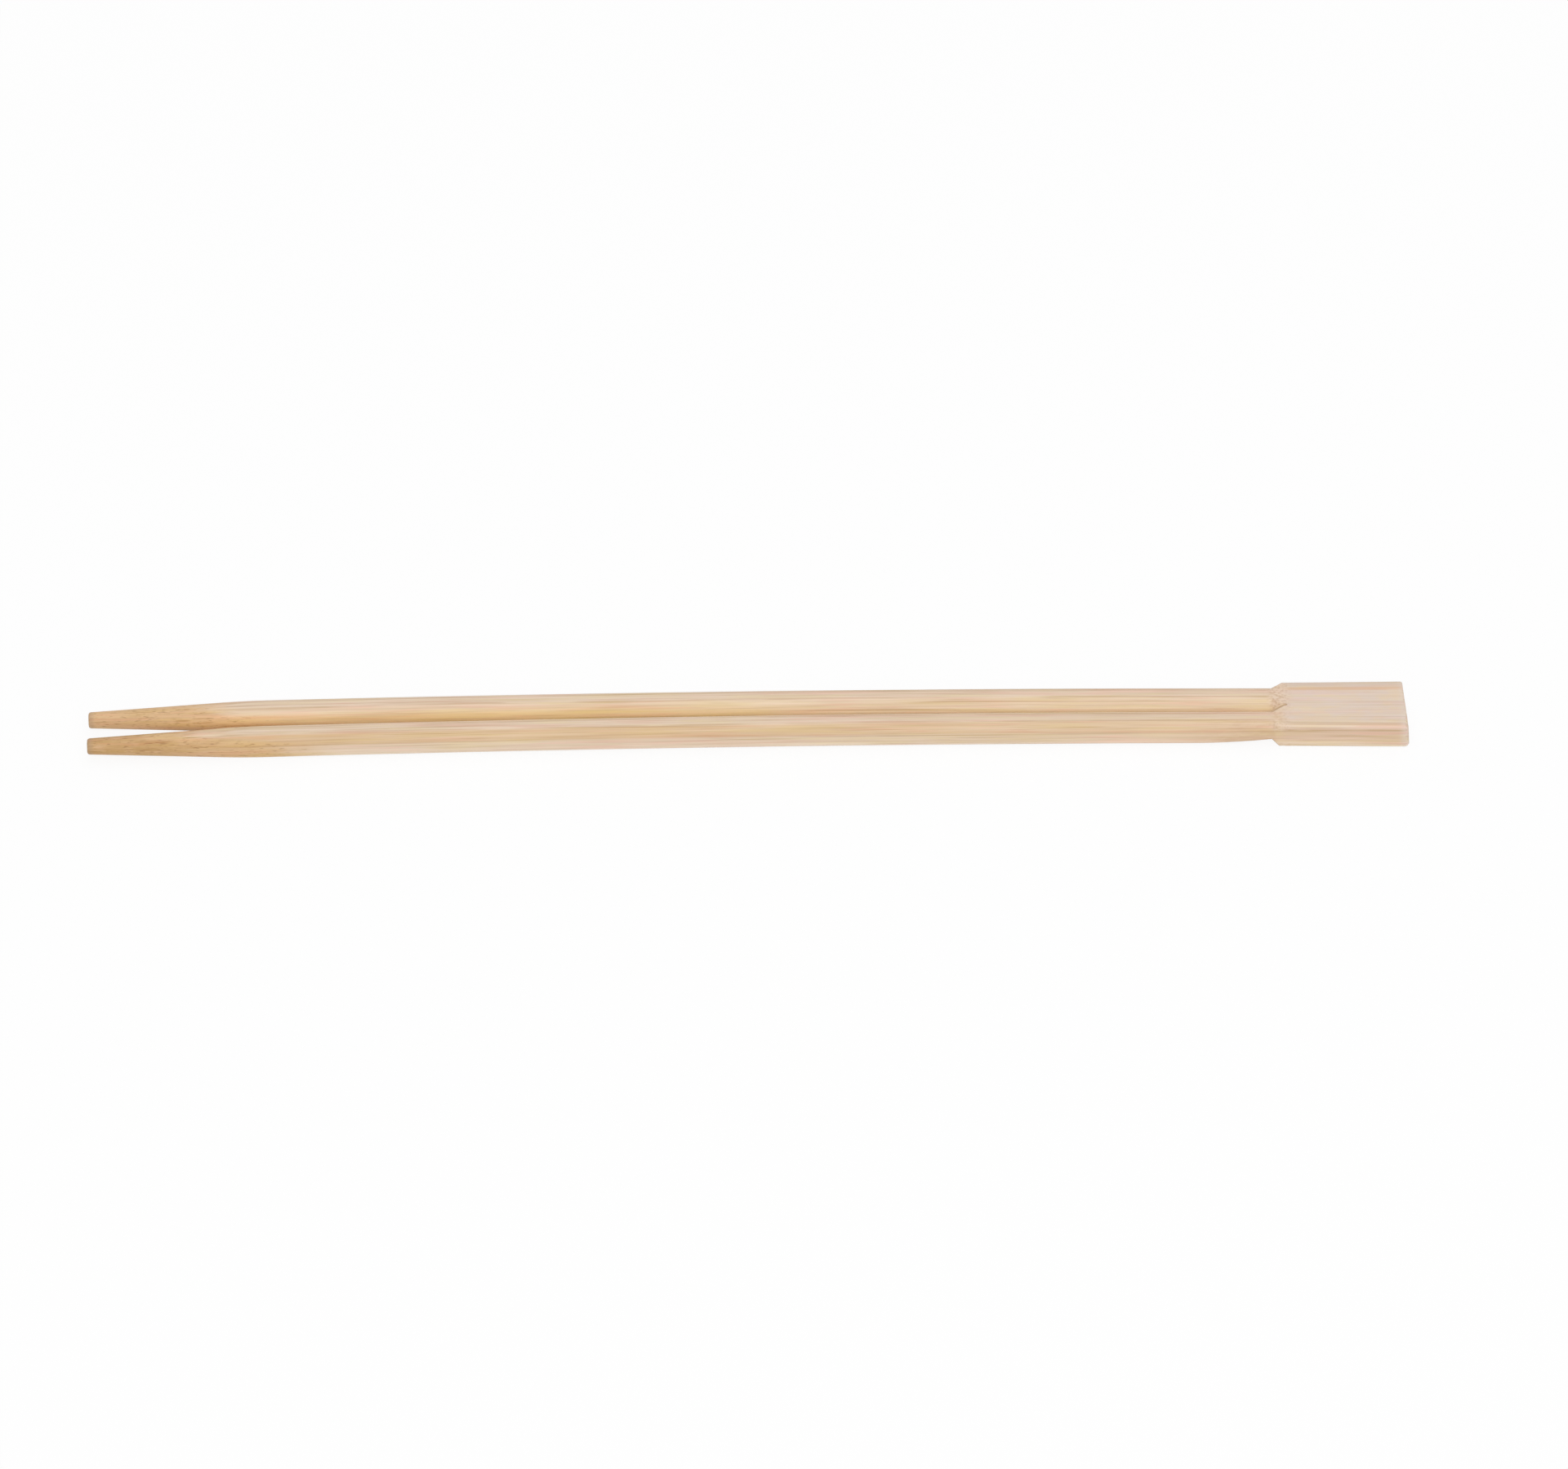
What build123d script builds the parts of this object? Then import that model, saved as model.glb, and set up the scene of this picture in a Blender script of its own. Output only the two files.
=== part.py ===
from build123d import *
import os
from math import degrees, hypot

# A disposable pair of bamboo chopsticks, cut from one slat and still joined at the head.
# Lengths are in millimetres and angles in degrees.

# Slat and head
LENGTH = 210.0
THICKNESS = 4.85
HEAD_LENGTH = 21.4
HEAD_WIDTH = 10.45
HEAD_END_WIDTH = 10.9
HEAD_END_SKEW = 3.5
HEAD_END_TILT = 4.0
HEAD_EDGE_RADIUS = 0.8
HEAD_END_EDGE_RADIUS = 0.35

# Sticks: a pair of round cutters shapes them. Their path is a little larger than the slat is thick,
# so its faces stay as narrow flats. The cutters ran a little off the slat's middle, towards the front.
STICK_DIAMETER = 4.95
CUTTER_SHIFT = 0.3
SHOULDER_LENGTH = 2.5

# Slit between the sticks, and how far it runs past the shoulder into the head
SLIT_WIDTH = 0.5
SLIT_RUN_IN = 2.45

# Bend of the sticks: sideways travel of the tips, and how much further apart they stand than the roots
BOW = 3.5
TIP_SPREAD = 0.6

# Tapered tips
TIP_DIAMETER = 2.55
TIP_LENGTH = 25.0
TIP_EDGE_RADIUS = 0.4

# Hollow where the front stick meets the shoulder, turned from its outer side down to its lower edge
NECK_LENGTH = 16.0
NECK_DEPTH = 0.65
NECK_TURN = 45.0

# Largest share of a section's side that one rounded edge may take
EDGE_SHARE = 0.45
# How far cutting shapes run past the surface that they cut
OVERCUT = 1.1

# Worked out from the driving dimensions
root_stretch = NECK_LENGTH * OVERCUT
tip_stretch = TIP_LENGTH * OVERCUT
stick_length = LENGTH - HEAD_LENGTH
bend_length = stick_length - root_stretch - tip_stretch
bend_radius = bend_length * (bend_length / 2 + tip_stretch) / BOW
stick_radius = STICK_DIAMETER / 2
stick_offset = (STICK_DIAMETER + SLIT_WIDTH) / 2
head_edge = min(HEAD_EDGE_RADIUS, EDGE_SHARE * min(HEAD_WIDTH, THICKNESS))
head_end_edge = min(HEAD_END_EDGE_RADIUS, EDGE_SHARE * head_edge)
FRONT = -1
BACK = 1


def stick_axis(side):
    """Sideways place of one stick's axis at its root."""
    return side * stick_offset - CUTTER_SHIFT


def stick_section(side):
    """Section of one stick at its root: the cutter's circle, trimmed by the faces and sides of the slat."""
    return Plane.YZ * (Rectangle(HEAD_WIDTH, THICKNESS) & Pos(stick_axis(side)) * Circle(stick_radius))


def shoulder_radius():
    """Radius at which the two cutters' circles fill the head's corners and the groove between them."""
    corner_y = HEAD_WIDTH / 2 - head_edge
    corner_z = THICKNESS / 2 - head_edge
    corner_reach = hypot(corner_y - stick_axis(BACK), corner_z) + head_edge
    groove_reach = hypot(stick_offset, THICKNESS / 2)
    return stick_radius + (max(corner_reach, groove_reach) - stick_radius) * OVERCUT


def shoulder(side):
    """Cone along which one cutter runs out of the slat."""
    at_root = (Align.CENTER, Align.CENTER, Align.MIN)
    run_out = Cone(stick_radius, shoulder_radius(), SHOULDER_LENGTH, align=at_root)
    return Pos(0, stick_axis(side)) * Rot(0, 90, 0) * run_out


def head_block():
    """Undivided head: a slightly flared block with eased edges and an end that was sawn a little askew."""
    blank_length = HEAD_LENGTH * OVERCUT
    blank_end_width = HEAD_WIDTH + (HEAD_END_WIDTH - HEAD_WIDTH) * OVERCUT
    outline = Polygon(
        (0, -HEAD_WIDTH / 2),
        (blank_length, -blank_end_width / 2),
        (blank_length, blank_end_width / 2),
        (0, HEAD_WIDTH / 2),
        align=None,
    )
    blank = extrude(outline, THICKNESS / 2, both=True)
    saw_cut = Plane(Pos(HEAD_LENGTH) * Rot(Z=HEAD_END_SKEW) * Rot(Y=90 - HEAD_END_TILT))
    block = split(blank, bisect_by=saw_cut, keep=Keep.BOTTOM)
    root_face = block.faces().sort_by(Axis.X)[0]
    end_face = block.faces().sort_by(Axis.X)[-1]
    long_edges = (block.faces() | Axis.Z).edges() - root_face.edges() - end_face.edges()
    block = fillet(long_edges, head_edge)
    return fillet(block.faces().sort_by(Axis.X)[-1].edges(), head_end_edge)


def head():
    """Head block cut back to the two flaring shoulders at its front."""
    beyond_shoulder = Pos(SHOULDER_LENGTH) * Box(
        HEAD_LENGTH * OVERCUT,
        max(HEAD_WIDTH, HEAD_END_WIDTH) * OVERCUT,
        THICKNESS * OVERCUT,
        align=(Align.MIN, Align.CENTER, Align.CENTER),
    )
    return head_block() & (beyond_shoulder + shoulder(FRONT) + shoulder(BACK))


def tip_cutter():
    """Ring that leaves a round tapered tip, as a sharpener does, with the tip's end at the origin."""
    tip_radius = TIP_DIAMETER / 2
    mouth_radius = tip_radius + (stick_radius - tip_radius) * OVERCUT
    at_end = (Align.CENTER, Align.CENTER, Align.MIN)
    taper = Cone(tip_radius, mouth_radius, tip_stretch, align=at_end)
    end_edge = taper.edges().sort_by(Axis.Z)[0]
    taper = fillet(end_edge, min(TIP_EDGE_RADIUS, EDGE_SHARE * TIP_DIAMETER))
    sleeve = Cylinder(2 * mouth_radius, tip_stretch * OVERCUT, align=at_end)
    return Pos(Z=tip_stretch * (1 - OVERCUT)) * sleeve - taper


def stick(side):
    """One stick: straight at its root, bent sideways on a large arc and straight again at its tip."""
    splay = side * TIP_SPREAD / 2 * root_stretch / stick_length
    root = Line((0, stick_axis(side)), (-root_stretch, stick_axis(side) + splay))
    bend = JernArc(root @ 1, root % 1, bend_radius, degrees(bend_length / bend_radius))
    tip_end = bend @ 1 + (bend % 1) * tip_stretch
    end = Line(bend @ 1, tip_end + (bend % 1) * TIP_EDGE_RADIUS)
    bar = sweep(stick_section(side), path=root + bend + end)
    at_tip = Plane(origin=tip_end, z_dir=-(end % 1))
    return bar - at_tip * tip_cutter()


def neck_hollow():
    """Sliver taken off the front stick's outer lower edge, deepening to the shoulder and ending in a ramp."""
    start = (-NECK_LENGTH, NECK_DEPTH * (1 - OVERCUT) - stick_radius)
    deepest = (0, NECK_DEPTH - stick_radius)
    ramp_end = (SHOULDER_LENGTH, NECK_DEPTH - stick_radius - SHOULDER_LENGTH)
    clear = (-NECK_LENGTH, NECK_DEPTH - stick_radius - SHOULDER_LENGTH)
    curve = TangentArc(start, deepest, tangent=(1, 0))
    outline = make_face([curve, Polyline(deepest, ramp_end, clear, start)])
    sliver = extrude(outline, THICKNESS, both=True)
    return Pos(0, stick_axis(FRONT)) * Rot(NECK_TURN, 0, 0) * sliver


def slit():
    """Saw slit that parts the sticks at their roots and ends, rounded, inside the head."""
    outline = SlotOverall(2 * SLIT_RUN_IN, SLIT_WIDTH)
    return Pos(0, -CUTTER_SHIFT) * extrude(outline, THICKNESS, both=True)


def chopstick_pair():
    """The whole pair, standing on its flat side with the middle of its box over the origin."""
    pair = head() + stick(FRONT) + stick(BACK) - slit() - neck_hollow()
    box = pair.bounding_box()
    return Pos(-box.center().X, -box.center().Y, -box.min.Z) * pair


os.makedirs("parts", exist_ok=True)
pair = chopstick_pair()
pair.label = "chopstick_pair"
export_step(pair, "parts/chopstick_pair.step")
print("size", pair.bounding_box().size, "volume", pair.volume)
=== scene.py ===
import bpy
import numpy as np
from math import atan2, cos, hypot, pi, radians, sin, tan
from mathutils import Matrix, Vector, noise


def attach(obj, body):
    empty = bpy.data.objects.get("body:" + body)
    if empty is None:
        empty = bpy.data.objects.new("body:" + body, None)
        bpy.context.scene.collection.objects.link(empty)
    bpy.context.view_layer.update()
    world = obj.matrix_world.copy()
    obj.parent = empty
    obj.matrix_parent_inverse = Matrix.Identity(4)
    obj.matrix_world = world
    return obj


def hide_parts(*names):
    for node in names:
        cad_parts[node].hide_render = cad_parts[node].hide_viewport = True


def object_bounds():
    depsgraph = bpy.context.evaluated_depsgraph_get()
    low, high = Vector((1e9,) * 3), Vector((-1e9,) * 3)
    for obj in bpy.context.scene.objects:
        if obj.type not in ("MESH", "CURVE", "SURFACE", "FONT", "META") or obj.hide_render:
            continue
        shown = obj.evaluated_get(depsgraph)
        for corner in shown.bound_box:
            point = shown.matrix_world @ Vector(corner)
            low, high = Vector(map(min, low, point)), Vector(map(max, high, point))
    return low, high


# Looks of a disposable pair of bamboo chopsticks, cut from one slat and still joined at the head.
# The wood's form and fibres are worked out on the straight slat, in millimetres. The sticks are bent last.


def linear(red, green, blue):
    """A listed colour, as the linear values that the shader takes."""
    share = np.array([red, green, blue]) / 255
    return (*np.where(share <= 0.04045, share / 12.92, ((share + 0.055) / 1.055) ** 2.4), 1)


NODE = "chopstick_pair"
MM = 0.001
TINY = 1e-6

# Sides of the pair
FRONT = -1
BACK = 1

# Slat and head, as in the solid
LENGTH = 210.0
THICKNESS = 4.85
HEAD_LENGTH = 21.4
HEAD_WIDTH = 10.45
HEAD_END_WIDTH = 10.9
HEAD_END_SKEW = 3.5
HEAD_END_TILT = 4.0
HEAD_EDGE_RADIUS = 0.8
# Edge of the sawn end, more worn than in the solid at the front and left crisp at the back
END_EDGE_FRONT = 0.8
END_EDGE_MIDDLE = 0.5
END_EDGE_BACK = 0.3

# Sticks, shoulder and slit, as in the solid
STICK_DIAMETER = 4.95
CUTTER_SHIFT = 0.3
SHOULDER_LENGTH = 2.5
SLIT_WIDTH = 0.5
SLIT_RUN_IN = 2.45
BOW = 3.5
TIP_SPREAD = 0.6

# Tapered tips and the hollow at the neck, as in the solid
TIP_DIAMETER = 2.55
TIP_LENGTH = 25.0
TIP_EDGE_RADIUS = 0.4
NECK_LENGTH = 16.0
NECK_DEPTH = 0.65
NECK_TURN = 45.0
OVERCUT = 1.1

# Mesh: segments round the outer and inner part of a half, and samples that place each of them
OUTER_SEGMENTS = 112
INNER_SEGMENTS = 38
SEGMENT_SAMPLES = 20

# Mesh: softness of the taper's edge, distance within which points are joined, and angle of a sharp edge
TAPER_SOFTNESS = 0.18
WELD = 1e-4
SHARP_ANGLE = 45.0

# Mesh: rows over a rounded edge, and the distance between rows along the slat
EDGE_ROWS = 7
HEAD_STEP = 0.7
SHOULDER_STEP = 0.14
ROOT_STEP = 0.55
STICK_STEP = 1.05
TIP_STEP = 0.65
SHOULDER_ROWS_START = -1.0

# Relief of the wood: depth, size across the fibres, size along them, and seed
WAVE = (0.012, 1.6, 30.0, 11.3)
FIBRE = (0.004, 0.45, 14.0, 47.9)
TORN = (0.035, 0.4, 0.6, 83.1)

# Torn grain at the shoulder: its start and end along the slat, and the lengths of its fades
TORN_START = -0.6
TORN_END = 4.2
TORN_FADE_IN = 0.8
TORN_FADE_OUT = 1.6

# Texture sheet, in millimetres of surface: its side, the strips' length, the gap between them and the margin
SHEET = 90.0
STRIP = 86.0
STRIP_GAP = 1.2
SHEET_EDGE = 1.0

# Colours of the wood, with painted light among them: lighter inner sides, groove, slit walls and lower
# sides, a highlight on the head's eased edges, and part of the gold on the inner sides and tips
PALE = linear(232, 208, 181)
STRAW = linear(222, 194, 160)
PLANED = linear(226, 204, 182)
HEAD_FACE = linear(224, 206, 196)
HEAD_WARM = linear(228, 207, 185)
SAWN = linear(229, 214, 202)
# The gold below is partly painted bounced light; the three after it are painted light on the inner sides,
# deep in the groove and on the slit's walls
GOLD_AND_PAINTED_BOUNCE = linear(229, 197, 140)
INNER_PAINTED_LIGHT = linear(237, 217, 191)
DEEP_PAINTED_LIGHT = linear(242, 214, 170)
SLIT_WALL_PAINTED_LIGHT = linear(244, 224, 196)
SIDE = linear(211, 177, 134)
# The two below are painted light: bounced from the floor on the lower outer sides, and fill light on the
# lowest parts and the front stick's inner side
LOWER_PAINTED_BOUNCE = linear(231, 211, 190)
LOWEST_PAINTED_FILL = linear(248, 233, 216)
TIP_FRONT = linear(193, 150, 90)
TIP_BACK = linear(218, 179, 130)
TIP_LIGHT = linear(215, 176, 124)
TIP_PINK = linear(213, 172, 127)
TIP_END = linear(176, 147, 118)
# The two below: a lighter gold on the tips' inner sides, partly painted light, and a painted highlight for
# the head's eased edges
TIP_INNER_GOLD_AND_PAINTED_LIGHT = linear(243, 205, 153)
EDGE_PAINTED_HIGHLIGHT = linear(234, 213, 190)
EDGE_DARK = linear(196, 163, 127)
RUST = linear(220, 182, 145)
FAR_RIM = linear(210, 190, 172)
HEAD_SIDE = linear(222, 193, 172)
SCOOP = linear(212, 179, 146)
TORN_LIGHT = linear(232, 208, 187)
TORN_DARK = linear(205, 172, 142)
PORE = linear(140, 98, 60)

# Tints of the streaks and flecks, which multiply the colour under them
PINK_TINT = (1.03, 0.94, 0.96, 1)
YELLOW_TINT = (1.0, 1.01, 0.9, 1)
DARK_TINT = (0.9, 0.865, 0.82, 1)
LIGHT_TINT = (1.06, 1.07, 1.1, 1)
LINE_TINT = (0.78, 0.69, 0.58, 1)
FLECK_TINT = (0.62, 0.52, 0.42, 1)

# Patterns in the wood: length and width of their features in millimetres, detail, roughness and seed
BROAD_BANDS = (60, 1.5, 3.0, 0.6, 3.1)
WARM_PATCHES = (5, 2.2, 2.0, 0.6, 37.1)
FACE_CLOUDS = (6, 1.2, 3.0, 0.6, 31.7)
EDGE_WANDER = (25, 40, 2.0, 0.5, 5.3)
STICK_BREAKS = (14, 3.0, 2.0, 0.5, 17.1)
HEAD_BREAKS = (7, 2.0, 2.0, 0.5, 9.7)
GOLD_PATCHES = (30, 1.2, 2.0, 0.55, 41.9)
SCOOP_MOTTLE = (2.6, 0.7, 2.0, 0.6, 57.3)
GOLD_SMEARS = (9, 0.9, 3.0, 0.6, 61.7)
TIP_MOTTLE = (3.0, 0.6, 2.0, 0.6, 66.1)
TIP_FLECKS = (1.2, 0.2, 1.0, 0.5, 71.9)
HUES = (16, 0.7, 2.0, 0.6, 12.9)
FINE_FIBRES = (20, 0.36, 2.0, 0.6, 7.7)
HAIR_FIBRES = (9, 0.14, 1.0, 0.5, 21.3)
BROWN_LINES = (45, 0.3, 1.0, 0.5, 27.7)
TORN_SPECKS = (0.6, 0.34, 3.0, 0.65, 51.3)
GLOSS_STREAKS = (18, 0.5, 2.0, 0.6, 81.1)
PROUD_FIBRES = (10, 0.16, 3.0, 0.6, 91.3)

# Dots of the cut vessels on the sawn ends
PORES_PER_MM = 1.9

# Gold of the tips: where it fades out from their ends, how much sooner in places, and how far it smears
GOLD_REACH = (41, 27)
DEEP_GOLD_REACH = (9, 25)
GOLD_LESS_ON_FRONT_FACE = 19.0
GOLD_LESS_ON_BACK_FACE = 11.0
GOLD_LESS_ON_BACK = 4.5
GOLD_SMEAR_SIZE = 16.0

# Sheen of the wood: least and most roughness, and the fibres that stand proud
ROUGHNESS = (0.42, 0.6)
BUMP_STRENGTH = 0.25
BUMP_DEPTH = 0.03

# Floor and light. A lamp has an azimuth, an elevation, a size and a strength.
FLOOR_SIZE = 6.0
FLOOR_COLOUR = (0.97, 0.97, 0.97, 1)
FLOOR_GLOW = 0.9
SKY_LIGHT = 0.53
LAMP_DISTANCE = 1.5
FRONT_LIGHT = (8.0, 49.0, 1.2, 0.4)
BACK_LIGHT = (170.0, 75.0, 1.2, 0.2)

# Camera: the photograph's size, its scale, the origin's pixel in it, and the viewing angle
IMAGE_WIDTH = 1920
IMAGE_HEIGHT = 1799
SENSOR = 36.0
FOCAL_PIXELS = 14000
PIXELS_PER_MM = 7.678
ORIGIN_PIXEL = (916.52, 897.24)
VIEW_ELEVATION = 43.42
VIEW_ROLL = -0.136

# Worked out from the sizes above
stick_length = LENGTH - HEAD_LENGTH
root_stretch = NECK_LENGTH * OVERCUT
tip_stretch = TIP_LENGTH * OVERCUT
bend_length = stick_length - root_stretch - tip_stretch
bend_radius = bend_length * (bend_length / 2 + tip_stretch) / BOW
half_thickness = THICKNESS / 2
stick_radius = STICK_DIAMETER / 2
stick_offset = (STICK_DIAMETER + SLIT_WIDTH) / 2

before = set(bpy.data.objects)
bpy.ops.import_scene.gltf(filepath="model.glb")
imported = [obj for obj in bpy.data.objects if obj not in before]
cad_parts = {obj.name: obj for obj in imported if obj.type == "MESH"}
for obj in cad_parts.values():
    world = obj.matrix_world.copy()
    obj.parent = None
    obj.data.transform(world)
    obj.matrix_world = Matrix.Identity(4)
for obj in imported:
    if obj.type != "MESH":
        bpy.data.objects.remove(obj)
cad_low, cad_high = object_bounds()


def stick_axis(side):
    """Sideways place of one stick's axis on the straight slat."""
    return side * stick_offset - CUTTER_SHIFT


def head_width(x):
    """Width of the slat at a place along it."""
    return HEAD_WIDTH + (HEAD_END_WIDTH - HEAD_WIDTH) * max(x, 0) / HEAD_LENGTH


def ray_to_rounded_box(c, s, width, height, radius):
    """Distance along each ray from the middle of a rounded rectangle, given by half sizes, to its edge."""
    c = np.maximum(np.abs(c), TINY)
    s = np.maximum(np.abs(s), TINY)
    core_u = width - radius
    core_v = height - radius
    to_side = width / c
    to_face = height / s
    along = core_u * c + core_v * s
    to_corner = along + np.sqrt(np.maximum(along ** 2 - core_u ** 2 - core_v ** 2 + radius ** 2, 0))
    past_side = np.where(to_face * c <= core_u, to_face, to_corner)
    return np.where(to_side * s <= core_v, to_side, past_side)


def cutter_radius(x):
    """Radius of the cutter's round path, which widens at the shoulder until it leaves the slat."""
    corner_y = HEAD_WIDTH / 2 - HEAD_EDGE_RADIUS
    corner_z = half_thickness - HEAD_EDGE_RADIUS
    corner_reach = hypot(corner_y - stick_axis(BACK), corner_z) + HEAD_EDGE_RADIUS
    groove_reach = hypot(stick_offset, half_thickness)
    growth = (max(corner_reach, groove_reach) - stick_radius) * OVERCUT
    return stick_radius + growth * max(x, 0) / SHOULDER_LENGTH


def end_edge(c, side):
    """Radius of the sawn end's edge along each ray, between the slat's middle and one of its sides."""
    outer = END_EDGE_FRONT if side == FRONT else END_EDGE_BACK
    return END_EDGE_MIDDLE + (outer - END_EDGE_MIDDLE) * np.clip(2 * c, 0, 1)


def end_inset(distance, radius):
    """How far a rounded end edge stands back at a distance from the end."""
    inside = np.maximum(radius - distance, 0)
    return radius - (radius ** 2 - inside ** 2) ** 0.5


def slit_wall(x):
    """Distance from a stick's axis to the slit's wall, or past the slit to the plane between the halves."""
    slit_radius = SLIT_WIDTH / 2
    inside = min(max(x - SLIT_RUN_IN + slit_radius, 0), slit_radius)
    return stick_radius + slit_radius - (slit_radius ** 2 - inside ** 2) ** 0.5


def neck_hollow(x):
    """Depth of the hollow on the front stick's outer lower edge."""
    if x > 0:
        return NECK_DEPTH - x
    sag = NECK_DEPTH * OVERCUT
    radius = (NECK_LENGTH ** 2 + sag ** 2) / (2 * sag)
    run = max(x + NECK_LENGTH, 0)
    return NECK_DEPTH - sag + radius - (radius ** 2 - run ** 2) ** 0.5


def soft_minimum(a, b, softness):
    """The smaller of two distances, rounded where they cross."""
    share = np.clip(0.5 + 0.5 * (b - a) / softness, 0, 1)
    return b + (a - b) * share - softness * share * (1 - share)


def slat_reach(c, s, x, side):
    """Distance from a stick's axis to the slat's own faces and the slit."""
    inset = end_inset(HEAD_LENGTH - x, end_edge(c, side))
    outward = head_width(x) / 2 - stick_offset + side * CUTTER_SHIFT - inset
    height = half_thickness - inset
    outer = ray_to_rounded_box(c, s, outward, height, HEAD_EDGE_RADIUS - inset)
    inner = np.minimum(height / np.maximum(np.abs(s), TINY), slit_wall(x) / np.maximum(np.abs(c), TINY))
    return np.where(c > 0, outer, inner)


def section(c, s, x, side):
    """Distance from the axis to the surface along each ray."""
    reach = slat_reach(c, s, x, side)
    if x < SHOULDER_LENGTH:
        reach = np.minimum(reach, cutter_radius(x))
    if side == FRONT:
        toward = c * cos(radians(NECK_TURN)) - s * sin(radians(NECK_TURN))
        hollow = (stick_radius - neck_hollow(x)) / np.maximum(toward, TINY)
        reach = np.where(toward > TINY, np.minimum(reach, hollow), reach)
    from_tip = stick_length + x
    if from_tip > 2 * TIP_LENGTH:
        return reach
    taper = TIP_DIAMETER / 2 + (stick_radius - TIP_DIAMETER / 2) * from_tip / TIP_LENGTH
    return soft_minimum(reach, taper, TAPER_SOFTNESS) - end_inset(from_tip, TIP_EDGE_RADIUS)


def corner_angle(x):
    """Angle of the ray that goes to the upper corner between the face and the slit's wall."""
    height = half_thickness - end_inset(HEAD_LENGTH - x, END_EDGE_MIDDLE)
    return pi - atan2(height, slit_wall(x))


def even_angles(start, end, count):
    """Angles at which rays meet the stick's section at even steps round it."""
    fine = np.linspace(start, end, SEGMENT_SAMPLES * count)
    c, s = np.cos(fine), np.sin(fine)
    reach = np.minimum(stick_radius, half_thickness / np.maximum(np.abs(s), TINY))
    steps = np.hypot(np.diff(reach * c), np.diff(reach * s))
    way = np.concatenate([[0], np.cumsum(steps)])
    return np.interp(np.linspace(0, way[-1], count + 1), way, fine), way[-1]


def ring_angles():
    """Each column's angle, from the inner upper corner over the outer side, then up the slit's wall."""
    corner = corner_angle(SLIT_RUN_IN)
    outer, outer_way = even_angles(corner, -corner, OUTER_SEGMENTS)
    inner, inner_way = even_angles(-corner, corner - 2 * pi, INNER_SEGMENTS)
    way = np.concatenate([np.linspace(0, outer_way, OUTER_SEGMENTS + 1),
                          outer_way + np.linspace(0, inner_way, INNER_SEGMENTS + 1)[1:]])
    return outer, inner[1:-1], way


def stations():
    """Places along the slat where sections are taken, from the head's end to the tips."""
    steps = np.sin(np.linspace(0, pi / 2, EDGE_ROWS))
    head_end = HEAD_LENGTH - END_EDGE_FRONT * (1 - steps)
    slit_end = SLIT_RUN_IN - SLIT_WIDTH / 2 * (1 - steps)
    tip_end = TIP_EDGE_RADIUS * (1 - steps) - stick_length
    spans = [(SLIT_RUN_IN, HEAD_LENGTH - END_EDGE_FRONT, HEAD_STEP),
             (SHOULDER_ROWS_START, SLIT_RUN_IN - SLIT_WIDTH / 2, SHOULDER_STEP),
             (-root_stretch, SHOULDER_ROWS_START, ROOT_STEP),
             (tip_stretch - stick_length, -root_stretch, STICK_STEP),
             (TIP_EDGE_RADIUS - stick_length, tip_stretch - stick_length, TIP_STEP)]
    rows = [head_end, slit_end, tip_end, [0.0, NECK_DEPTH, SHOULDER_LENGTH]]
    for start, end, step in spans:
        rows.append(np.linspace(start, end, round((end - start) / step) + 1))
    return np.unique(np.round(np.concatenate(rows), 4))[::-1]


def saw_shift(x, y, z):
    """How far the askew saw cut moves a point of the head along the slat."""
    share = np.clip((x - SLIT_RUN_IN) / (HEAD_LENGTH - SLIT_RUN_IN), 0, 1)
    return -share * (y * tan(radians(HEAD_END_SKEW)) + (z - half_thickness) * tan(radians(HEAD_END_TILT)))


def half_grid(side):
    """Points of one half on the straight slat, row by row, and the way round it to each column."""
    outer, inner, way = ring_angles()
    corner = corner_angle(SLIT_RUN_IN)
    points = []
    for x in stations():
        lean = corner_angle(max(x, 0)) / corner
        spread = (pi - corner * lean) / (pi - corner)
        angle = np.concatenate([outer * lean, (inner + pi) * spread - pi])
        c, s = np.cos(angle), np.sin(angle)
        reach = section(c, s, x, side)
        y = stick_axis(side) + side * reach * c
        z = half_thickness + reach * s
        points.append(np.stack([x + saw_shift(x, y, z), y, z], 1))
    return np.array(points), way


def half_faces(rows, columns, side):
    """Corner numbers of one half's faces, and the rows and columns of their corners, not wrapped round."""
    faces, places = [], []
    solid = [x > SLIT_RUN_IN - TINY for x in stations()]
    for i in range(rows - 1):
        last = OUTER_SEGMENTS if solid[i + 1] else columns
        for k in range(last):
            place = [(i, k), (i, k + 1), (i + 1, k + 1), (i + 1, k)]
            if side == FRONT:
                place = place[::-1]
            faces.append([row * columns + column % columns for row, column in place])
            places.append(place)
    return faces, places


def end_faces(rows, columns, side):
    """Fans that close one half at the head's end and at the tip, round two points added after the grid."""
    faces = []
    for number, (row, used) in enumerate([(0, OUTER_SEGMENTS + 1), (rows - 1, columns)]):
        centre = rows * columns + number
        for k in range(used):
            corners = [centre, row * columns + (k + 1) % used, row * columns + k]
            faces.append(corners if (row == 0) == (side == BACK) else corners[::-1])
    return faces


def strip_places(places, side, way):
    """Places on the texture sheet of one half's faces: a ribbon along the half, cut into strips."""
    x = stations()
    ribbon = LENGTH + STRIP_GAP
    sheet = []
    for place in places:
        along = [HEAD_LENGTH - x[row] + (ribbon if side == BACK else 0) for row, column in place]
        strip = int(sum(along) / len(along) // STRIP)
        low = SHEET_EDGE + strip * (way[-1] + STRIP_GAP)
        sheet.append([(SHEET_EDGE + STRIP_GAP + run - strip * STRIP, low + way[column])
                      for run, (row, column) in zip(along, place)])
    return sheet


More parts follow.
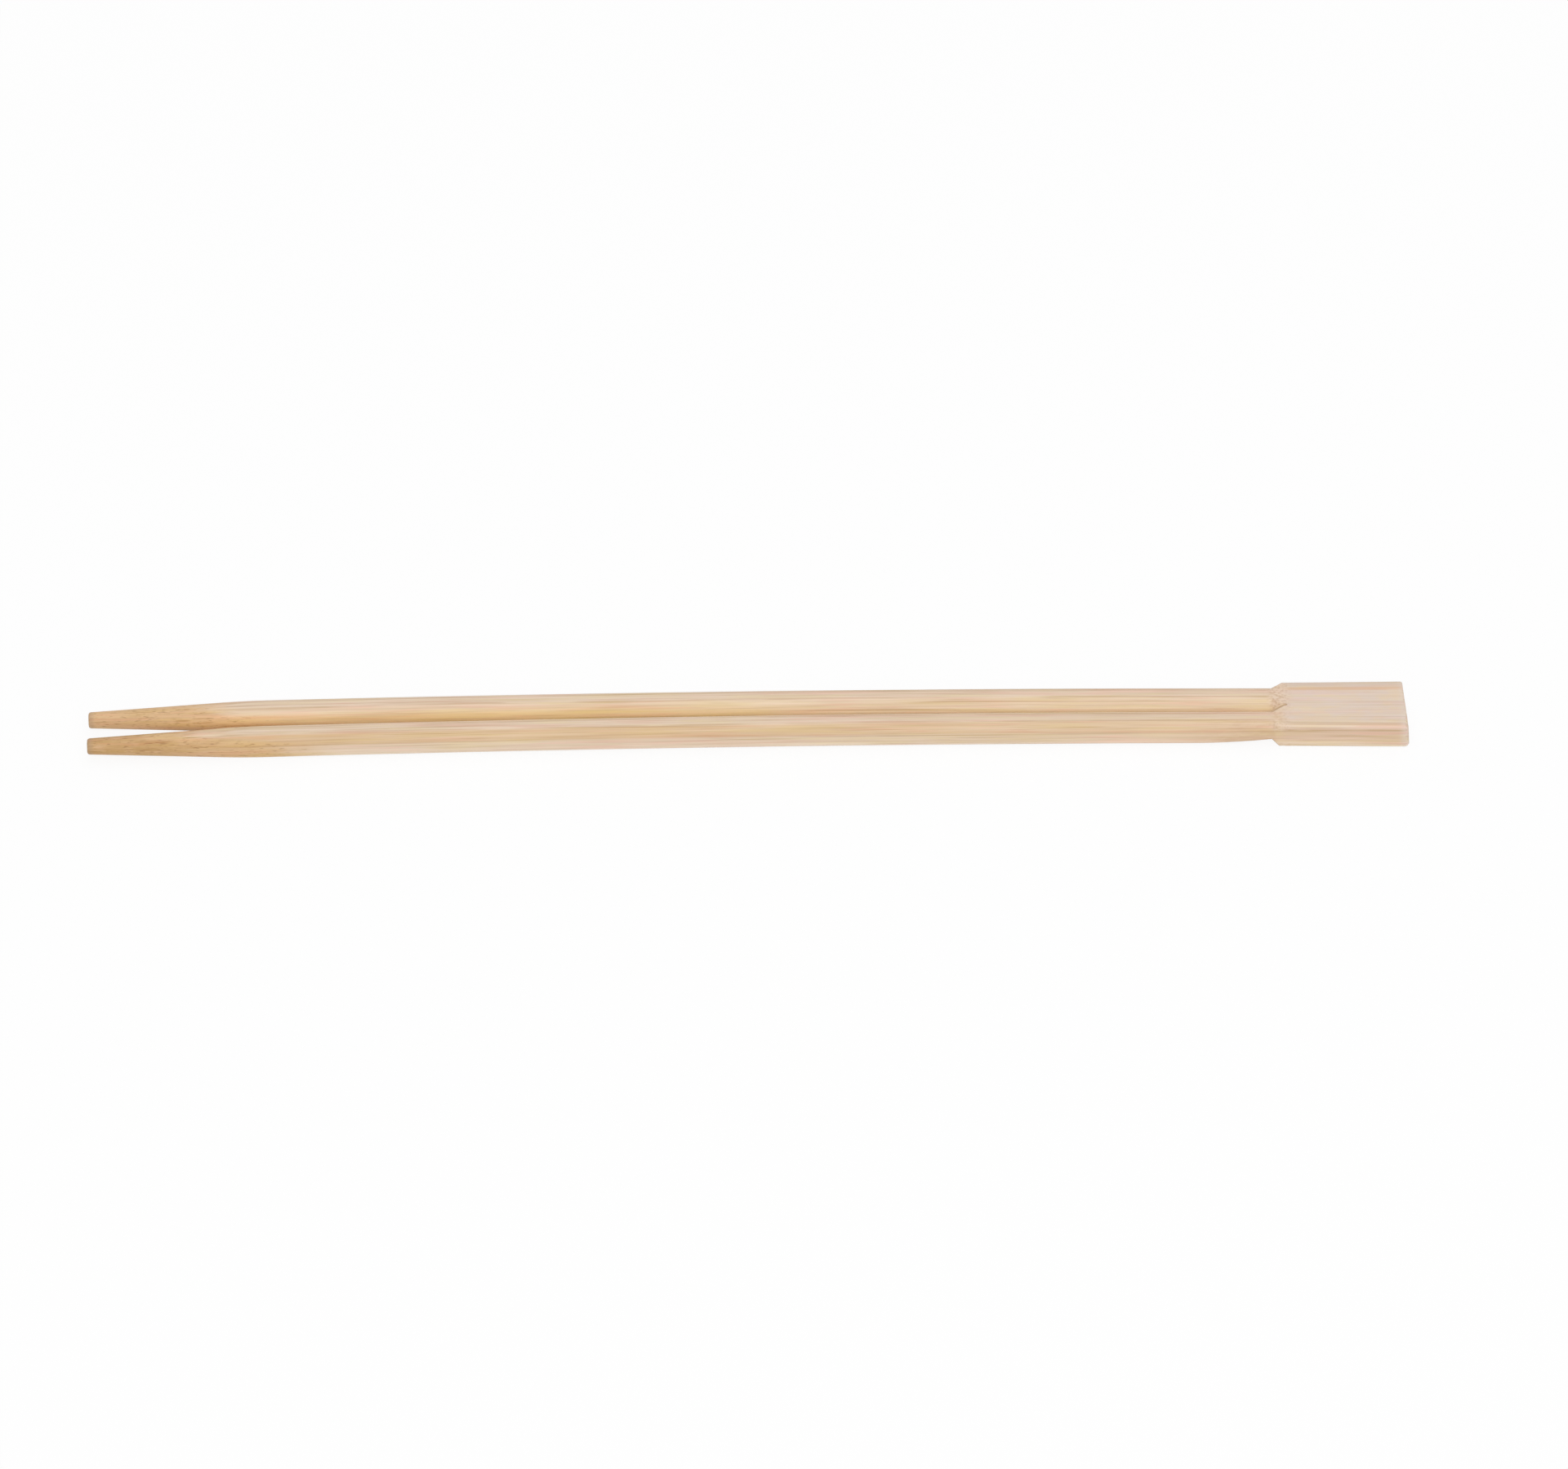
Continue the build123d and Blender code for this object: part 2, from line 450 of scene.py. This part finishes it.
def end_places(faces, points, side, way):
    """Places on the texture sheet of the end faces, side by side in the last strip's free end."""
    last_strip, used = divmod(2 * LENGTH + STRIP_GAP, STRIP)
    left = SHEET_EDGE + 2 * STRIP_GAP + used
    low = SHEET_EDGE + last_strip * (way[-1] + STRIP_GAP)
    low += THICKNESS + STRIP_GAP if side == BACK else 0
    past_head = HEAD_END_WIDTH / 2 + CUTTER_SHIFT + STRIP_GAP - stick_offset + TIP_DIAMETER / 2
    sheet = []
    for face in faces:
        at_head = all(points[corner][0] > 0 for corner in face)
        start = left if at_head else left + past_head
        sheet.append([(start + side * (points[corner][1] + CUTTER_SHIFT), low + points[corner][2])
                      for corner in face])
    return sheet


def slat_mesh():
    """Both halves on the straight slat, with end faces, and each face's place on the texture sheet."""
    points, faces, sheet, ends = [], [], [], []
    count = 0
    for side in (FRONT, BACK):
        grid, way = half_grid(side)
        rows, columns = grid.shape[:2]
        middle = stick_axis(side)
        caps = [(HEAD_LENGTH + saw_shift(HEAD_LENGTH, middle, half_thickness), middle, half_thickness),
                (-stick_length, middle, half_thickness)]
        own = np.concatenate([grid.reshape(-1, 3), caps])
        skin, places = half_faces(rows, columns, side)
        closing = end_faces(rows, columns, side)
        sheet += strip_places(places, side, way) + end_places(closing, own, side, way)
        faces += [[count + corner for corner in face] for face in skin + closing]
        ends += [0.0] * len(skin) + [1.0] * len(closing)
        points.append(own)
        count += len(own)
    return np.concatenate(points), faces, sheet, ends


def welded(points, faces):
    """Numbers of the points after points in one place are joined, with unused ones left out."""
    used = np.unique(np.concatenate([np.array(face) for face in faces]))
    keys = np.round(points[used] / WELD).astype(np.int64)
    _, first, number = np.unique(keys, axis=0, return_index=True, return_inverse=True)
    renumber = np.full(len(points), -1)
    renumber[used] = number.ravel()
    return used[first], renumber


def fibre_relief(points, pattern):
    """Height of one smooth, seeded relief that is drawn out along the fibres."""
    depth, across, along, seed = pattern
    scaled = points / np.array([along, across, across]) + seed
    return depth * np.array([noise.noise(Vector(point)) for point in scaled])


def relief(points):
    """Height of the wood's surface: slow waves, fibres, and torn grain at the shoulder."""
    x = points[:, 0]
    torn = np.clip((x - TORN_START) / TORN_FADE_IN, 0, 1) * np.clip((TORN_END - x) / TORN_FADE_OUT, 0, 1)
    return fibre_relief(points, WAVE) + fibre_relief(points, FIBRE) + torn * fibre_relief(points, TORN)


def bent(points):
    """The straight slat's points after the sticks are splayed a little and bent sideways."""
    x, y = points[:, 0], points[:, 1]
    side = np.where(y < -CUTTER_SHIFT, FRONT, BACK)
    axis = side * stick_offset - CUTTER_SHIFT
    splay = side * TIP_SPREAD / 2 / stick_length
    past_root = np.clip(-x - root_stretch, 0, bend_length)
    past_bend = np.maximum(-x - root_stretch - bend_length, 0)
    turn = past_root / bend_radius
    heading = splay - turn
    root = np.minimum(-x, root_stretch)
    along = root + bend_radius * (np.sin(splay) - np.sin(heading)) + past_bend * np.cos(heading)
    sideways = splay * np.maximum(root, 0) + bend_radius * (np.cos(heading) - np.cos(splay))
    sideways = sideways + past_bend * np.sin(heading)
    off_axis = y - axis
    bent_x = -along - off_axis * np.sin(turn)
    bent_y = axis + sideways + off_axis * np.cos(turn)
    return np.stack([bent_x, bent_y, points[:, 2]], 1)


def vertex_normals(points, faces):
    """Unit normals of the points, from the faces round them."""
    total = np.zeros_like(points)
    for face in (np.array([f for f in faces if len(f) == n]) for n in (3, 4)):
        normal = np.cross(points[face[:, 2]] - points[face[:, 0]], points[face[:, -1]] - points[face[:, 1]])
        for corner in range(face.shape[1]):
            np.add.at(total, face[:, corner], normal)
    return total / np.maximum(np.linalg.norm(total, axis=1), TINY)[:, None]


def add_attribute(mesh, name, kind, domain, values):
    """Store one value for each point or face of the mesh."""
    made = mesh.attributes.new(name, kind, domain)
    made.data.foreach_set("vector" if kind == "FLOAT_VECTOR" else "value", np.asarray(values, "f").ravel())


def chopsticks():
    """The pair as one mesh, with its place on the straight slat kept for the material."""
    points, faces, sheet, ends = slat_mesh()
    kept, renumber = welded(points, faces)
    points = points[kept]
    faces = [[int(renumber[corner]) for corner in face] for face in faces]
    plain = bent(points)
    shape = bent(points + vertex_normals(points, faces) * relief(points)[:, None])
    shape = np.clip(shape, plain.min(0), plain.max(0)) - (plain.min(0) + plain.max(0)) / 2
    middle = (np.array(cad_low) + np.array(cad_high)) / 2
    mesh = bpy.data.meshes.new("chopsticks")
    mesh.from_pydata((shape * MM + middle).tolist(), [], faces)
    add_attribute(mesh, "grain", "FLOAT_VECTOR", "POINT", points)
    add_attribute(mesh, "end", "FLOAT", "FACE", ends)
    corners = np.concatenate([np.array(face) for face in sheet])
    mesh.uv_layers.new(name="OFBake").uv.foreach_set("vector", (corners / SHEET).astype("f").ravel())
    mesh.shade_smooth()
    mesh.set_sharp_from_angle(angle=radians(SHARP_ANGLE))
    piece = bpy.data.objects.new("bamboo_chopsticks", mesh)
    bpy.context.scene.collection.objects.link(piece)
    return piece


class Material:
    """Short ways to add nodes to a material."""

    def __init__(self, name):
        self.material = bpy.data.materials.new(name)
        self.material.use_nodes = True
        self.tree = self.material.node_tree
        self.shader = self.tree.nodes["Principled BSDF"]

    def node(self, kind, **settings):
        made = self.tree.nodes.new("ShaderNode" + kind)
        for name, value in settings.items():
            setattr(made, name, value)
        return made

    def join(self, value, socket):
        if isinstance(value, bpy.types.NodeSocket):
            self.tree.links.new(value, socket)
        else:
            socket.default_value = value

    def attribute(self, name, output):
        return self.node("Attribute", attribute_name=name).outputs[output]

    def math(self, operation, a, b=0.0):
        made = self.node("Math", operation=operation)
        self.join(a, made.inputs[0])
        self.join(b, made.inputs[1])
        return made.outputs[0]

    def product(self, first, *others):
        for other in others:
            first = self.math("MULTIPLY", first, other)
        return first

    def step(self, value, start, end, low=0.0, high=1.0):
        """A smooth step from low to high while the value goes from start to end."""
        made = self.node("MapRange", interpolation_type="SMOOTHSTEP")
        for number, entry in enumerate((value, start, end, low, high)):
            self.join(entry, made.inputs[number])
        return made.outputs[0]

    def band(self, value, centre, half, soft):
        """One within half a width of the centre, fading to nothing over a soft edge."""
        return self.step(self.math("ABSOLUTE", self.math("SUBTRACT", value, centre)), half + soft, half)

    def noise(self, place, pattern):
        """Noise with the size, detail, roughness and seed that a pattern gives."""
        along, across, detail, roughness, seed = pattern
        scaled = self.node("Mapping")
        self.join(place, scaled.inputs["Vector"])
        scaled.inputs["Scale"].default_value = (1 / along, 1 / across, 1 / across)
        scaled.inputs["Location"].default_value = (seed, 1.7 * seed, 2.3 * seed)
        made = self.node("TexNoise")
        self.join(scaled.outputs[0], made.inputs["Vector"])
        made.inputs["Scale"].default_value = 1.0
        made.inputs["Detail"].default_value = detail
        made.inputs["Roughness"].default_value = roughness
        return made.outputs[0]

    def mix(self, share, a, b, blend="MIX"):
        made = self.node("Mix", data_type="RGBA", blend_type=blend)
        self.join(share, made.inputs[0])
        self.join(a, made.inputs[6])
        self.join(b, made.inputs[7])
        return made.outputs[2]

    def coat(self, colour, new, *masks, share=1.0):
        """The colour with a share of a new one over it, where all the masks are."""
        return self.mix(self.product(*masks, share), colour, new)


class Slat:
    """Places on the slat that the wood's marks follow, as values that vary over the surface."""

    def __init__(self, wood):
        self.wood = wood
        self.place = wood.attribute("grain", "Vector")
        split = wood.node("SeparateXYZ")
        wood.join(self.place, split.inputs[0])
        self.along, self.across, self.up = split.outputs
        self.end = wood.attribute("end", "Fac")
        from_slit = wood.math("ABSOLUTE", wood.math("ADD", self.across, CUTTER_SHIFT))
        self.outward = wood.math("SUBTRACT", from_slit, stick_offset)
        self.height = wood.math("ABSOLUTE", wood.math("SUBTRACT", self.up, half_thickness))
        flare = (HEAD_END_WIDTH - HEAD_WIDTH) / 2 / HEAD_LENGTH
        half_width = wood.math("MULTIPLY", wood.math("MAXIMUM", self.along, 0.0), flare)
        side = wood.math("SUBTRACT", wood.math("ABSOLUTE", self.across), HEAD_WIDTH / 2)
        self.from_side = wood.math("SUBTRACT", side, half_width)
        self.inner = self.where(outward=(-1.2, -2.2))
        self.on_head = self.where(along=(0.8, 2.4))
        self.on_stick = self.where(along=(0.6, -0.6))
        self.planed = self.where(height=(half_thickness - 0.16, half_thickness - 0.04))
        self.broken = self.pattern(STICK_BREAKS, 0.35, 0.55)
        self.patchy = self.pattern(GOLD_PATCHES, 0.3, 0.6, 0.65, 1.0)

    def where(self, **steps):
        """A share that rises over a step, in millimetres, in each of the named directions."""
        shares = [self.wood.step(getattr(self, name), *step) for name, step in steps.items()]
        return self.wood.product(*shares)

    def pattern(self, pattern, start, end, low=0.0, high=1.0):
        """A smooth step from low to high while one of the wood's patterns goes from start to end."""
        return self.wood.step(self.wood.noise(self.place, pattern), start, end, low, high)

    def drift(self, pattern, size):
        """An uneven shift to both sides of nothing."""
        centred = self.wood.math("SUBTRACT", self.wood.noise(self.place, pattern), 0.5)
        return self.wood.math("MULTIPLY", centred, size)


def ground(wood, slat):
    """Pale straw in broad, soft bands along the fibres."""
    return wood.mix(slat.pattern(BROAD_BANDS, 0.34, 0.66), STRAW, PALE)


def planed_faces(wood, slat, colour):
    """The slat's own faces: paler and greyer, also as the narrow flats along the sticks."""
    colour = wood.coat(colour, PLANED, slat.planed, slat.on_stick, share=0.6)
    face = wood.mix(slat.pattern(WARM_PATCHES, 0.4, 0.6), HEAD_FACE, HEAD_WARM)
    cloud = slat.pattern(FACE_CLOUDS, 0.3, 0.7, 0.5, 0.85)
    return wood.coat(colour, face, slat.planed, slat.on_head, cloud)


def flat_edges(wood, slat, colour):
    """Darker, broken lines where the flats of the sticks end, and a greyer far rim."""
    outward = wood.math("ABSOLUTE", wood.math("ADD", slat.outward, slat.drift(EDGE_WANDER, size=0.3)))
    line = wood.product(wood.band(outward, centre=0.75, half=0.08, soft=0.12), slat.where(height=(1.9, 2.2)))
    colour = wood.coat(colour, EDGE_DARK, line, slat.on_stick, slat.broken, share=0.5)
    rim = slat.where(across=(3.2, 3.9), up=(2.6, 3.4))
    return wood.coat(colour, FAR_RIM, rim, slat.on_stick, share=0.6)


def inner_sides(wood, slat, colour):
    """Sides that face the slit: golden away from the head, partly the wood's tone and partly painted bounced
    light, and made lighter deep down and on the front stick with painted light against the shade between the
    sticks.
    """
    # Painted light: the sides that face the slit are made lighter, more so deep down, against the shade
    # between the sticks
    lighter = slat.where(outward=(-1.8, -2.4, 0.55, 0.9))
    colour = wood.coat(colour, INNER_PAINTED_LIGHT, slat.inner, slat.on_stick, lighter)
    # Gold towards the tips: partly the wood's tone, partly painted light bounced in the groove
    colour = wood.coat(colour, GOLD_AND_PAINTED_BOUNCE, slat.inner, slat.where(along=(-50, -110)), slat.patchy, share=0.9)
    # Painted light: a paler tone deep in the groove, where shade falls
    colour = wood.coat(colour, DEEP_PAINTED_LIGHT, slat.where(outward=(-2.05, -2.45)), slat.on_stick, share=0.5)
    # Painted fill light on the front stick's inner side, against the shade between the sticks
    front = slat.where(across=(-0.2, -0.4), outward=(-0.9, -1.4))
    return wood.coat(colour, LOWEST_PAINTED_FILL, front, slat.on_stick, share=0.6)


def outer_sides(wood, slat, colour):
    """Outer sides: golden above and paler below with painted light bounced from the floor, with a thin dark
    seam between on a part of the length, and painted fill light on their lowest part.
    """
    upper = slat.where(outward=(0.8, 1.2), across=(3.6, 2.0), up=(3.1, 3.6), along=(-40, -125, 0.5, 1.0))
    colour = wood.coat(colour, SIDE, upper, slat.on_stick, slat.patchy)
    # Painted light bounced from the floor makes the lower outer sides paler
    lower = slat.where(outward=(0.2, 1.2), up=(3.5, 2.9), along=(-15, -70, 0.1, 0.5))
    colour = wood.coat(colour, LOWER_PAINTED_BOUNCE, lower, slat.on_stick, slat.where(along=(-160, -138)))
    seam = wood.band(slat.up, centre=3.12, half=0.05, soft=0.12)
    seam = wood.product(seam, slat.where(outward=(1.5, 2.0), along=(-80, -62)), slat.where(along=(-34, -46)))
    colour = wood.coat(colour, EDGE_DARK, seam, slat.broken, share=0.75)
    # Painted fill light on the lowest part of the outer sides, against the shade near the floor
    lowest = slat.where(up=(1.9, 0.5), outward=(0.9, 1.6), along=(-5, -45, 0.35, 0.75))
    return wood.coat(colour, LOWEST_PAINTED_FILL, lowest)


def head_marks(wood, slat, colour):
    """A painted highlight on the eased edges with a dark line under them, and a rusty line by the far edge
    of the face.
    """
    broken = slat.pattern(HEAD_BREAKS, 0.3, 0.5, 0.35, 1.0)
    near = wood.product(slat.on_head, slat.where(across=(1.0, -1.0)))
    # Painted highlight along the head's eased edges
    eased = slat.where(from_side=(-0.4, -0.24), height=(1.62, 1.76))
    colour = wood.coat(colour, EDGE_PAINTED_HIGHLIGHT, eased, near, broken, share=0.75)
    rim = wood.band(slat.from_side, centre=-0.62, half=0.2, soft=0.12)
    colour = wood.coat(colour, EDGE_DARK, rim, slat.where(height=(1.9, 2.1)), near, share=0.45)
    side = wood.product(slat.on_head, slat.where(from_side=(-0.3, -0.1)))
    colour = wood.coat(colour, HEAD_SIDE, side, slat.where(up=(1.4, 2.2)), share=0.55)
    under = wood.band(slat.up, centre=half_thickness + 1.48, half=0.12, soft=0.1)
    colour = wood.coat(colour, EDGE_DARK, under, side, broken, share=0.75)
    far_rim = slat.where(across=(3.5, 4.3), up=(3.4, 4.0))
    colour = wood.coat(colour, FAR_RIM, far_rim, slat.on_head, share=0.55)
    far_line = wood.band(slat.across, centre=3.4, half=0.24, soft=0.16)
    colour = wood.coat(colour, RUST, far_line, slat.planed, slat.on_head, broken, share=0.7)
    return wood.coat(colour, SAWN, slat.where(along=(HEAD_LENGTH - 1.6, HEAD_LENGTH - 0.3, 0.0, 0.5)))


def neck_scoop(wood, slat, colour):
    """Darker, mottled wood where the cutter dug in at the front stick's neck."""
    mottle = slat.pattern(SCOOP_MOTTLE, 0.35, 0.65, 0.3, 0.75)
    zone = slat.where(along=(-17.0, -4.0), across=(-3.5, -3.8))
    return wood.coat(colour, SCOOP, zone, slat.where(along=(0.8, 0.0)), mottle)


def tips(wood, slat, colour):
    """Golden wood with short dark flecks where the taper cut across the fibres, shorter on the faces."""
    from_end = wood.math("ADD", slat.along, stick_length)
    back = slat.where(across=(-0.4, -0.2))
    face = slat.where(height=(1.3, 2.2))
    less_on_face = wood.step(back, 0.0, 1.0, GOLD_LESS_ON_FRONT_FACE, GOLD_LESS_ON_BACK_FACE)
    less = wood.math("ADD", wood.product(face, less_on_face), wood.product(back, GOLD_LESS_ON_BACK))
    from_tip = wood.math("ADD", wood.math("ADD", from_end, slat.drift(GOLD_SMEARS, GOLD_SMEAR_SIZE)), less)
    reached = wood.step(from_tip, *GOLD_REACH)
    front_gold = wood.mix(wood.step(from_tip, *DEEP_GOLD_REACH), TIP_FRONT, TIP_LIGHT)
    gold = wood.mix(back, front_gold, TIP_BACK)
    gold = wood.coat(gold, TIP_PINK, slat.pattern(TIP_MOTTLE, 0.5, 0.7, 0.0, 0.6))
    # Inner sides of the tips: a lighter gold, partly the wood's tone and partly painted light against the
    # shade between the sticks
    gold = wood.coat(gold, TIP_INNER_GOLD_AND_PAINTED_LIGHT, slat.inner, share=0.8)
    colour = wood.coat(colour, gold, reached, share=0.85)
    fleck = wood.product(slat.pattern(TIP_FLECKS, 0.56, 0.76, 0.0, 0.8), reached)
    colour = wood.mix(fleck, colour, FLECK_TINT, "MULTIPLY")
    return wood.coat(colour, TIP_END, wood.step(from_end, 1.3, 0.3, 0.0, 0.5))


def streaks(wood, slat, colour):
    """Lengthwise streaks over the wood's tones: rosy and yellow ones, fine fibres and thin brown lines."""
    share = wood.math("SUBTRACT", 1.0, wood.product(slat.planed, slat.on_head, 0.45))
    hue = wood.noise(slat.place, HUES)
    fine = wood.noise(slat.place, FINE_FIBRES)
    hair = wood.noise(slat.place, HAIR_FIBRES)
    line = wood.noise(slat.place, BROWN_LINES)
    layers = [(hue, 0.5, 0.66, PINK_TINT), (hue, 0.5, 0.34, YELLOW_TINT), (fine, 0.5, 0.7, DARK_TINT),
              (fine, 0.5, 0.3, LIGHT_TINT), (hair, 0.52, 0.78, DARK_TINT), (line, 0.64, 0.74, LINE_TINT)]
    for pattern, start, end, tint in layers:
        amount = wood.math("MULTIPLY", wood.step(pattern, start, end), share)
        colour = wood.mix(amount, colour, tint, "MULTIPLY")
    return colour


def torn_shoulder(wood, slat, colour):
    """Pale torn fibres where the cutter left the slat, rougher on the back half."""
    torn = wood.mix(slat.pattern(TORN_SPECKS, 0.34, 0.6), TORN_DARK, TORN_LIGHT)
    zone = slat.where(along=(-1.2, 0.4), height=(0.9, 1.7), across=(-2.0, 0.5, 0.4, 0.75))
    return wood.coat(colour, torn, zone, slat.where(along=(3.8, 1.6)))


def slit_wall_painted_light(wood, slat, colour):
    """Walls of the slit in the head, below the edge of the face, made lighter with painted light against the
    shade in the slit.
    """
    below_face = slat.where(height=(half_thickness - 0.02, half_thickness - 0.2))
    # Painted light on the slit's walls, where shade falls
    wall = slat.where(outward=(-2.35, -2.46), along=(-0.8, 0.6))
    return wood.coat(colour, SLIT_WALL_PAINTED_LIGHT, wall, below_face, slat.where(along=(SLIT_RUN_IN + 0.3, SLIT_RUN_IN)))


def end_grain(wood, slat, colour):
    """Dark dots of the cut vessels on the sawn ends, with a pale ground between them."""
    dots = wood.node("TexVoronoi", feature="F1")
    wood.join(slat.place, dots.inputs["Vector"])
    dots.inputs["Scale"].default_value = PORES_PER_MM
    core = wood.step(dots.outputs["Distance"], 0.34, 0.2)
    return wood.coat(colour, PORE, core, slat.end, share=0.6)


def surface(wood, slat):
    """Matt planed wood: duller streaks, and fine fibres that stand a little proud."""
    wood.join(slat.pattern(GLOSS_STREAKS, 0.3, 0.7, *ROUGHNESS), wood.shader.inputs["Roughness"])
    bump = wood.node("Bump")
    bump.inputs["Strength"].default_value = BUMP_STRENGTH
    bump.inputs["Distance"].default_value = BUMP_DEPTH * MM
    wood.join(wood.noise(slat.place, PROUD_FIBRES), bump.inputs["Height"])
    wood.join(bump.outputs[0], wood.shader.inputs["Normal"])


def bamboo():
    """Planed bamboo: pale straw with fine lengthwise streaks, golden where the tips were tapered."""
    wood = Material("bamboo")
    slat = Slat(wood)
    colour = ground(wood, slat)
    layers = [planed_faces, flat_edges, inner_sides, outer_sides, head_marks, neck_scoop, tips, streaks,
              torn_shoulder, slit_wall_painted_light, end_grain]
    for layer in layers:
        colour = layer(wood, slat, colour)
    wood.join(colour, wood.shader.inputs["Base Color"])
    surface(wood, slat)
    return wood.material


def floor():
    """Pale floor that looks white and keeps a soft shadow."""
    mesh = bpy.data.meshes.new("floor")
    reach = FLOOR_SIZE / 2
    corners = [(-reach, -reach, 0), (reach, -reach, 0), (reach, reach, 0), (-reach, reach, 0)]
    mesh.from_pydata(corners, [], [(0, 1, 2, 3)])
    plane = bpy.data.objects.new("floor", mesh)
    plane.location.z = cad_low.z
    bpy.context.scene.collection.objects.link(plane)
    paint = Material("floor")
    paint.shader.inputs["Base Color"].default_value = FLOOR_COLOUR
    paint.shader.inputs["Roughness"].default_value = 1.0
    paint.shader.inputs["Specular IOR Level"].default_value = 0.0
    glow = paint.node("Emission")
    path = paint.node("LightPath")
    seen = paint.math("MAXIMUM", path.outputs["Is Camera Ray"], path.outputs["Is Glossy Ray"])
    seen = paint.math("MAXIMUM", seen, path.outputs["Is Transmission Ray"])
    both = paint.node("MixShader")
    paint.join(paint.math("MULTIPLY", seen, FLOOR_GLOW), both.inputs[0])
    paint.join(paint.shader.outputs[0], both.inputs[1])
    paint.join(glow.outputs[0], both.inputs[2])
    paint.join(both.outputs[0], paint.tree.nodes["Material Output"].inputs["Surface"])
    mesh.materials.append(paint.material)


def sky():
    """Even white light from all round, which the camera sees as white."""
    world = bpy.data.worlds.new("sky")
    world.use_nodes = True
    tree = world.node_tree
    back = tree.nodes["Background"]
    path = tree.nodes.new("ShaderNodeLightPath")
    seen = path.outputs["Is Camera Ray"]
    for kind in ("Is Glossy Ray", "Is Transmission Ray"):
        either = tree.nodes.new("ShaderNodeMath")
        either.operation = "MAXIMUM"
        tree.links.new(seen, either.inputs[0])
        tree.links.new(path.outputs[kind], either.inputs[1])
        seen = either.outputs[0]
    level = tree.nodes.new("ShaderNodeMapRange")
    level.inputs["To Min"].default_value = SKY_LIGHT
    level.inputs["To Max"].default_value = 1.0
    tree.links.new(seen, level.inputs["Value"])
    tree.links.new(level.outputs[0], back.inputs["Strength"])
    back.inputs["Color"].default_value = (1, 1, 1, 1)
    bpy.context.scene.world = world


def lamp(name, azimuth, elevation, size, strength):
    """A soft square light from one direction, as bright on a surface facing it as a sky of this strength."""
    light = bpy.data.lights.new(name, "AREA")
    light.shape = "SQUARE"
    light.size = size
    light.energy = strength * (pi * LAMP_DISTANCE) ** 2
    body = bpy.data.objects.new(name, light)
    toward = Vector((sin(radians(azimuth)) * cos(radians(elevation)),
                     -cos(radians(azimuth)) * cos(radians(elevation)), sin(radians(elevation))))
    body.location = toward * LAMP_DISTANCE
    body.rotation_mode = "QUATERNION"
    body.rotation_quaternion = toward.to_track_quat("Z", "Y")
    bpy.context.scene.collection.objects.link(body)


def camera():
    """Camera at the photograph's viewing angle, with the origin at its pixel in the photograph."""
    lens = bpy.data.cameras.new("camera")
    lens.sensor_width = SENSOR
    lens.lens = SENSOR * FOCAL_PIXELS / IMAGE_WIDTH
    lens.shift_x = (IMAGE_WIDTH / 2 - ORIGIN_PIXEL[0]) / IMAGE_WIDTH
    lens.shift_y = (ORIGIN_PIXEL[1] - IMAGE_HEIGHT / 2) / IMAGE_WIDTH
    distance = FOCAL_PIXELS / PIXELS_PER_MM * MM
    lens.clip_end = 10 * distance
    body = bpy.data.objects.new("camera", lens)
    bpy.context.scene.collection.objects.link(body)
    elevation = radians(VIEW_ELEVATION)
    turn = Matrix.Rotation(pi / 2 - elevation, 4, "X") @ Matrix.Rotation(radians(VIEW_ROLL), 4, "Z")
    place = Vector((0, -cos(elevation), sin(elevation))) * distance
    body.matrix_world = Matrix.Translation(place) @ turn
    bpy.context.scene.camera = body


pair = chopsticks()
pair.data.materials.append(bamboo())
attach(pair, "root")
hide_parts(NODE)
floor()
sky()
lamp("front", *FRONT_LIGHT)
lamp("back", *BACK_LIGHT)
camera()
bpy.context.scene.view_settings.view_transform = "Standard"
